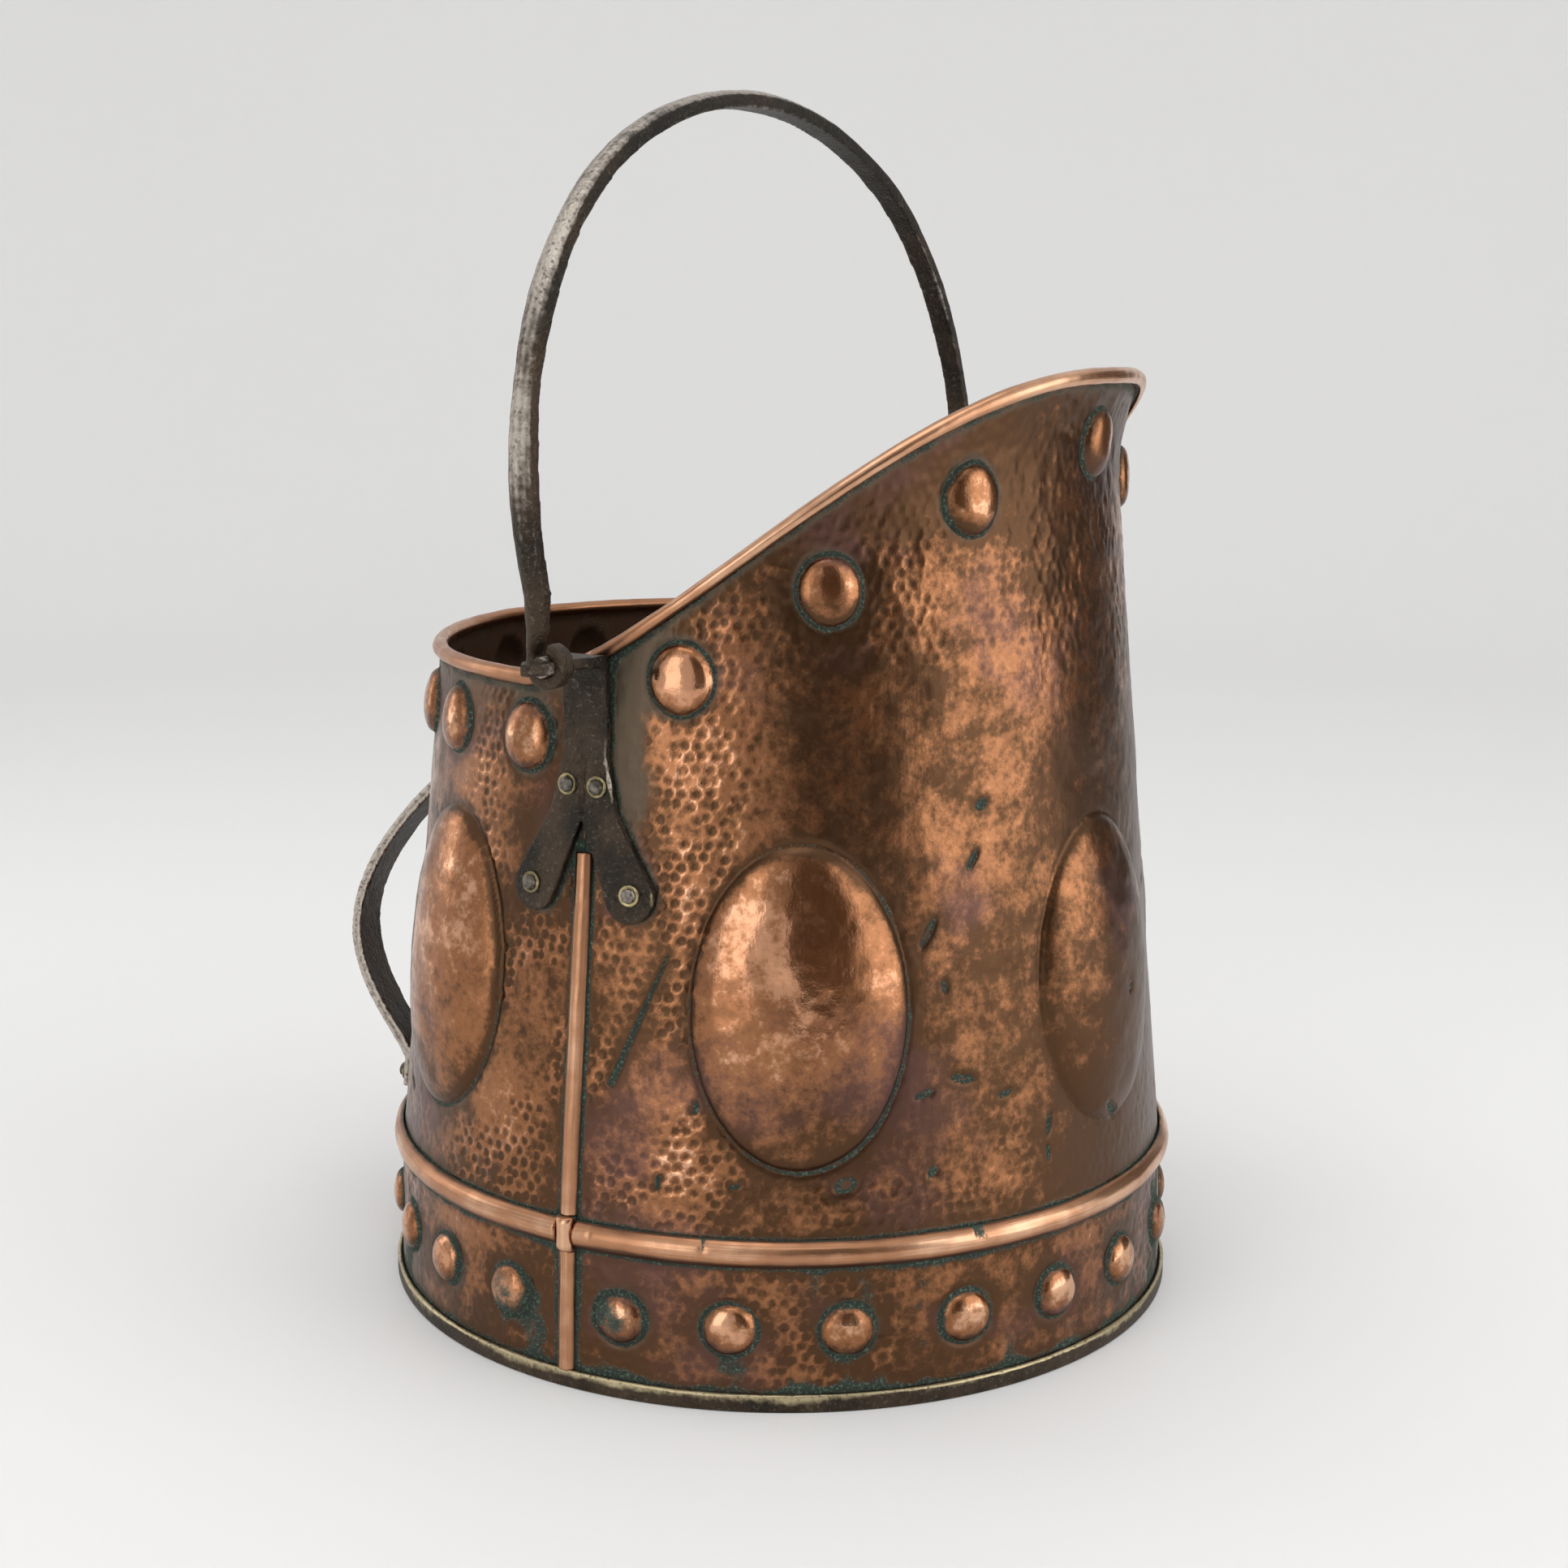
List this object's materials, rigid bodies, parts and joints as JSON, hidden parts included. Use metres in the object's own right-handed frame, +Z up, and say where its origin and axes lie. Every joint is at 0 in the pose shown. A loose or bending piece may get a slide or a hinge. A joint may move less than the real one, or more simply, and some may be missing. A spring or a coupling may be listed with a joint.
{
  "type": "coal scuttle",
  "caption": "Hammered copper helmet-shaped coal scuttle with embossed ovals and round bosses, a tall pouring lip, a swinging wrought-iron bail and an iron strap handle at the back.",
  "frame": {"origin": "centre of the foot's resting face on the floor", "axes": "+X towards the pouring lip, +Y towards the scuttle's left-hand bail lug, +Z up"},
  "size_m": [0.3715, 0.3848, 0.5076],
  "materials": {
    "copper_sheet": "hammered copper, worn bright on the high places, brown and green in the hollows",
    "copper_trim": "half-round copper trim, rubbed bright, with verdigris along its edges",
    "copper_inside": "dark oxidised copper",
    "iron": "forged iron, dark and pitted, edges worn grey",
    "rivet": "worn brassy rivets"
  },
  "bodies": {
    "root": {"front_sheet": "copper_sheet", "back_sheet": "copper_sheet", "rim_wire": "iron", "foot_band_front": "copper_sheet", "foot_band_back": "copper_sheet", "waist_bead_front": "copper_trim", "waist_bead_back": "copper_trim", "seam_strip_right": "copper_trim", "seam_strip_left": "copper_trim", "foot_strip_right": "copper_trim", "foot_strip_left": "copper_trim", "collar_right": "copper_trim", "collar_left": "copper_trim", "foot_hoop": "copper_trim", "base_plate": "copper_inside", "lug_right": "iron", "lug_left": "iron", "lug_rivets_right": "rivet", "lug_rivets_left": "rivet", "lug_burrs_right": "rivet", "lug_burrs_left": "rivet", "back_handle": "iron", "handle_rivets": "rivet", "handle_burrs": "rivet"},
    "bail": {"bail": "iron"}
  },
  "joints": [
    {"name": "bail_swing", "type": "hinge", "parent": "root", "child": "bail", "pos_m": [0, 0, 0.28669], "axis": [0, 1, 0], "range_deg": [-112, 128]}
  ]
}
